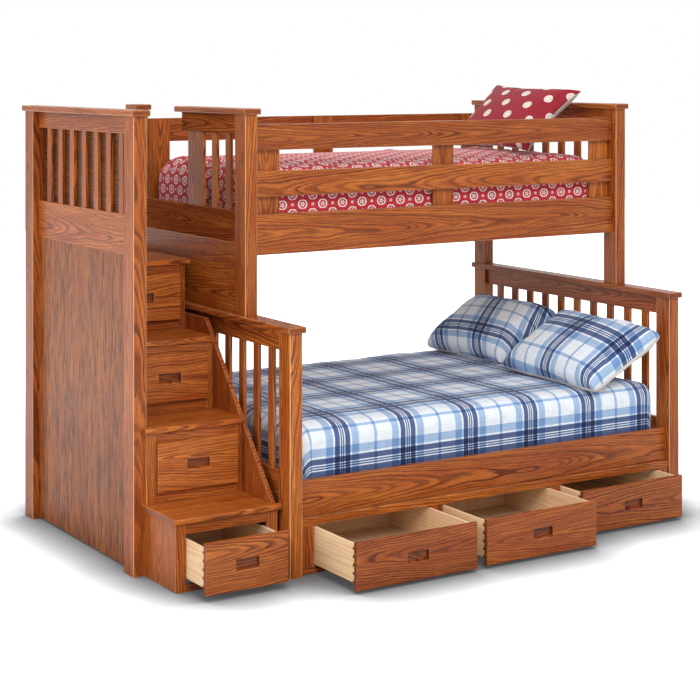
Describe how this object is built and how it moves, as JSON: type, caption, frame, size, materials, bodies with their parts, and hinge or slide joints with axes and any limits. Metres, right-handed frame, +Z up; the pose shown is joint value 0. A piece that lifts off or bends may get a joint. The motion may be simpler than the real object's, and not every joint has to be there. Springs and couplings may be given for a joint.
{
  "type": "bunk bed",
  "caption": "Twin over full bunk bed with a storage stair at one end, drawers in the stair and under the lower bed, guard rails, mattresses and pillows.",
  "frame": {"origin": "on the floor, under the middle of the whole object with its drawers as they stand at rest", "axes": "+X along the bed towards the headboard, with the stair at the -X end; +Y from the drawers' side to the back; +Z up"},
  "size_m": [2.576, 1.807, 1.9109],
  "materials": {
    "stained_oak": "oak in a reddish brown stain under a satin lacquer",
    "oak_veneer": "oak veneer in the same stain under a satin lacquer",
    "maple": "pale maple under a clear matt lacquer",
    "plaid_cotton": "white cotton woven in a blue plaid",
    "red_print_cotton": "red cotton printed with small white rings and blossoms",
    "dotted_cotton": "red cotton printed with large pale dots",
    "zinc_steel": "zinc plated"
  },
  "bodies": {
    "frame": {"stair_posts": "stained_oak", "stair_cap": "stained_oak", "stair_end_rails": "stained_oak", "stair_slats": "stained_oak", "stair_end_panel": "oak_veneer", "stair_side_left": "stained_oak", "stair_side_right": "stained_oak", "stair_back": "oak_veneer", "tread_1": "stained_oak", "tread_2": "stained_oak", "tread_3": "stained_oak", "tread_4": "stained_oak", "stair_face_frames": "stained_oak", "stair_drawer_runners": "maple", "full_posts": "stained_oak", "full_caps": "stained_oak", "footboard_rails": "stained_oak", "footboard_slats": "stained_oak", "headboard_rails": "stained_oak", "headboard_slats": "stained_oak", "full_side_rails": "stained_oak", "full_bed_slats": "maple", "full_mattress": "plaid_cotton", "full_pillow_rear": "plaid_cotton", "full_pillow_front": "plaid_cotton", "slat_cleats": "maple", "twin_posts": "stained_oak", "twin_caps": "stained_oak", "twin_left_rails": "stained_oak", "twin_left_slats": "stained_oak", "twin_left_board": "stained_oak", "twin_right_rails": "stained_oak", "twin_right_slats": "stained_oak", "twin_side_rails": "stained_oak", "guard_boards": "stained_oak", "guard_stiles": "stained_oak", "twin_bed_slats": "maple", "twin_mattress": "red_print_cotton", "twin_pillow": "dotted_cotton", "drawer_unit_frame": "stained_oak", "drawer_unit_dividers": "stained_oak", "drawer_unit_back": "oak_veneer", "bed_drawer_runners": "maple", "alignment_pins": "zinc_steel", "rail_brackets": "zinc_steel", "bracket_bolts": "zinc_steel"},
    "stair_drawer_1": {"stair_drawer_1_front": "stained_oak", "stair_drawer_1_box": "maple"},
    "stair_drawer_2": {"stair_drawer_2_front": "stained_oak", "stair_drawer_2_box": "maple"},
    "stair_drawer_3": {"stair_drawer_3_front": "stained_oak", "stair_drawer_3_box": "maple"},
    "stair_drawer_4": {"stair_drawer_4_front": "stained_oak", "stair_drawer_4_box": "maple"},
    "bed_drawer_1": {"bed_drawer_1_front": "stained_oak", "bed_drawer_1_box": "maple"},
    "bed_drawer_2": {"bed_drawer_2_front": "stained_oak", "bed_drawer_2_box": "maple"},
    "bed_drawer_3": {"bed_drawer_3_front": "stained_oak", "bed_drawer_3_box": "maple"}
  },
  "joints": [
    {"name": "stair_drawer_1_slide", "type": "slide", "parent": "frame", "child": "stair_drawer_1", "axis": [0, -1, 0], "range_m": [-0.148, 0.222]},
    {"name": "stair_drawer_2_slide", "type": "slide", "parent": "frame", "child": "stair_drawer_2", "axis": [0, -1, 0], "range_m": [0, 0.37]},
    {"name": "stair_drawer_3_slide", "type": "slide", "parent": "frame", "child": "stair_drawer_3", "axis": [0, -1, 0], "range_m": [0, 0.37]},
    {"name": "stair_drawer_4_slide", "type": "slide", "parent": "frame", "child": "stair_drawer_4", "axis": [0, -1, 0], "range_m": [0, 0.37]},
    {"name": "bed_drawer_1_slide", "type": "slide", "parent": "frame", "child": "bed_drawer_1", "axis": [0, -1, 0], "range_m": [-0.298, 0.152]},
    {"name": "bed_drawer_2_slide", "type": "slide", "parent": "frame", "child": "bed_drawer_2", "axis": [0, -1, 0], "range_m": [-0.288, 0.162]},
    {"name": "bed_drawer_3_slide", "type": "slide", "parent": "frame", "child": "bed_drawer_3", "axis": [0, -1, 0], "range_m": [-0.135, 0.315]}
  ]
}
